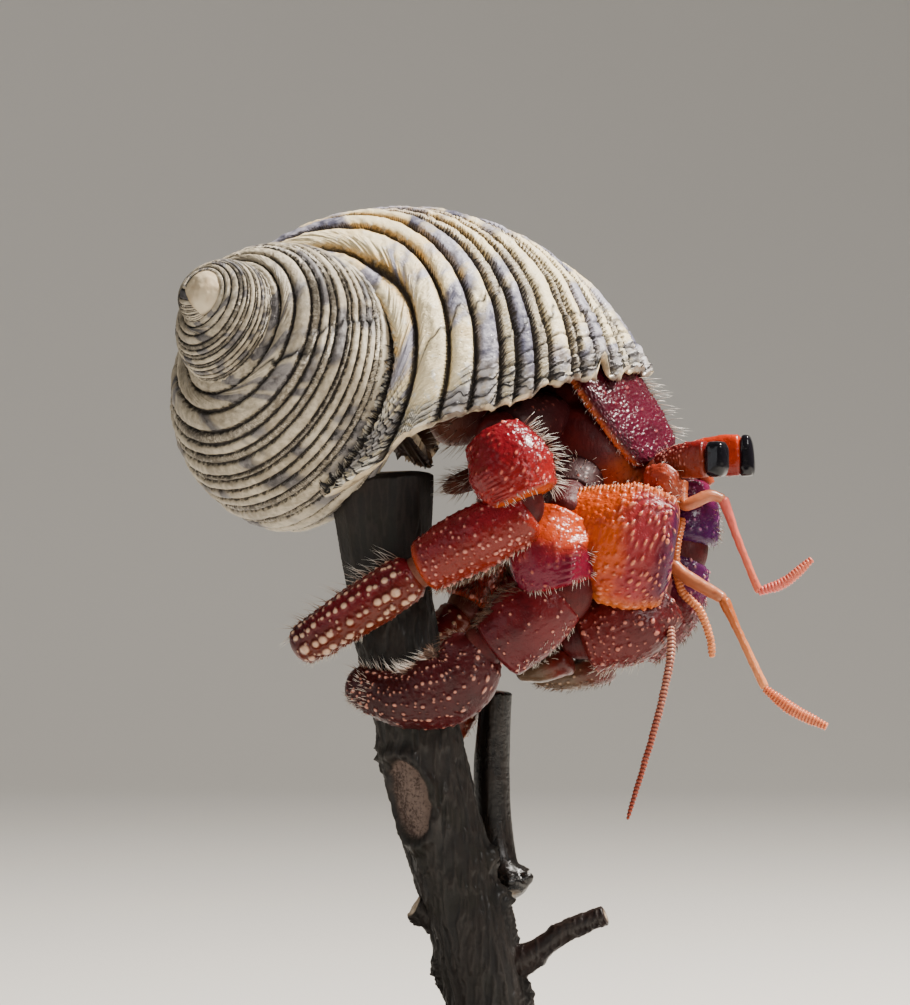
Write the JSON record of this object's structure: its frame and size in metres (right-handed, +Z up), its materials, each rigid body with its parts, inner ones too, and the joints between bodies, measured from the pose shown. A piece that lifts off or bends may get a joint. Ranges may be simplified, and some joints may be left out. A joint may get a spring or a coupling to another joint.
{
  "type": "hermit crab",
  "caption": "Still life-size model of a land hermit crab in a ridged turban shell, gripping a cut branch on a round display stand.",
  "frame": {"origin": "centre of the underside of the stand's base", "axes": "+Z up, +X towards the crab's head as seen from its right side, +Y towards its left side"},
  "size_m": [0.0964, 0.088, 0.1366],
  "materials": {
    "shell": "satin",
    "chitin_red": "gloss",
    "chitin_purple": "gloss",
    "chitin_orange": "satin",
    "cornea": "gloss",
    "flesh": "satin",
    "feelers": "satin",
    "bark": "matte",
    "stand": "matte"
  },
  "bodies": {
    "root": {"shell": "shell", "stand_base": "stand", "stand_rod": "stand", "perch_branch": "bark", "perch_shoot": "bark", "perch_twig": "bark", "perch_stub": "bark", "carapace_shield": "chitin_purple", "thorax": "chitin_red", "carapace_rear": "chitin_red", "abdomen": "flesh", "eyestalk_right": "chitin_red", "cornea_right": "cornea", "eyestalk_left": "chitin_orange", "cornea_left": "cornea", "cheliped_right_carpus": "chitin_orange", "cheliped_right_palm": "chitin_red", "cheliped_right_finger": "chitin_red", "cheliped_right_dactyl": "chitin_red", "cheliped_right_merus": "chitin_red", "cheliped_left_merus": "chitin_purple", "cheliped_left_carpus": "chitin_purple", "cheliped_left_palm": "chitin_purple", "cheliped_left_finger": "chitin_red", "cheliped_left_dactyl": "chitin_red", "leg2_right_merus": "chitin_red", "leg2_right_carpus": "chitin_red", "leg2_right_propodus": "chitin_red", "leg2_right_dactyl": "chitin_red", "leg3_right_merus": "chitin_red", "leg3_right_carpus": "chitin_red", "leg3_right_propodus": "chitin_red", "leg3_right_dactyl": "chitin_red", "leg2_left_merus": "chitin_red", "leg2_left_carpus": "chitin_red", "leg2_left_propodus": "chitin_red", "leg2_left_dactyl": "chitin_red", "leg3_left_merus": "chitin_red", "leg3_left_carpus": "chitin_red", "leg3_left_propodus": "chitin_red", "leg3_left_dactyl": "chitin_red", "leg4_right": "flesh", "leg4_left": "flesh", "maxilliped_right": "chitin_red", "maxilliped_left": "chitin_red", "antenna_base_right": "chitin_orange", "antenna_base_left": "chitin_orange", "antenna_right": "feelers", "antenna_left": "feelers", "antennule_right_base": "feelers", "antennule_right_middle": "feelers", "antennule_right_flagellum": "feelers", "antennule_left_base": "feelers", "antennule_left_middle": "feelers", "antennule_left_flagellum": "feelers"}
  },
  "joints": []
}
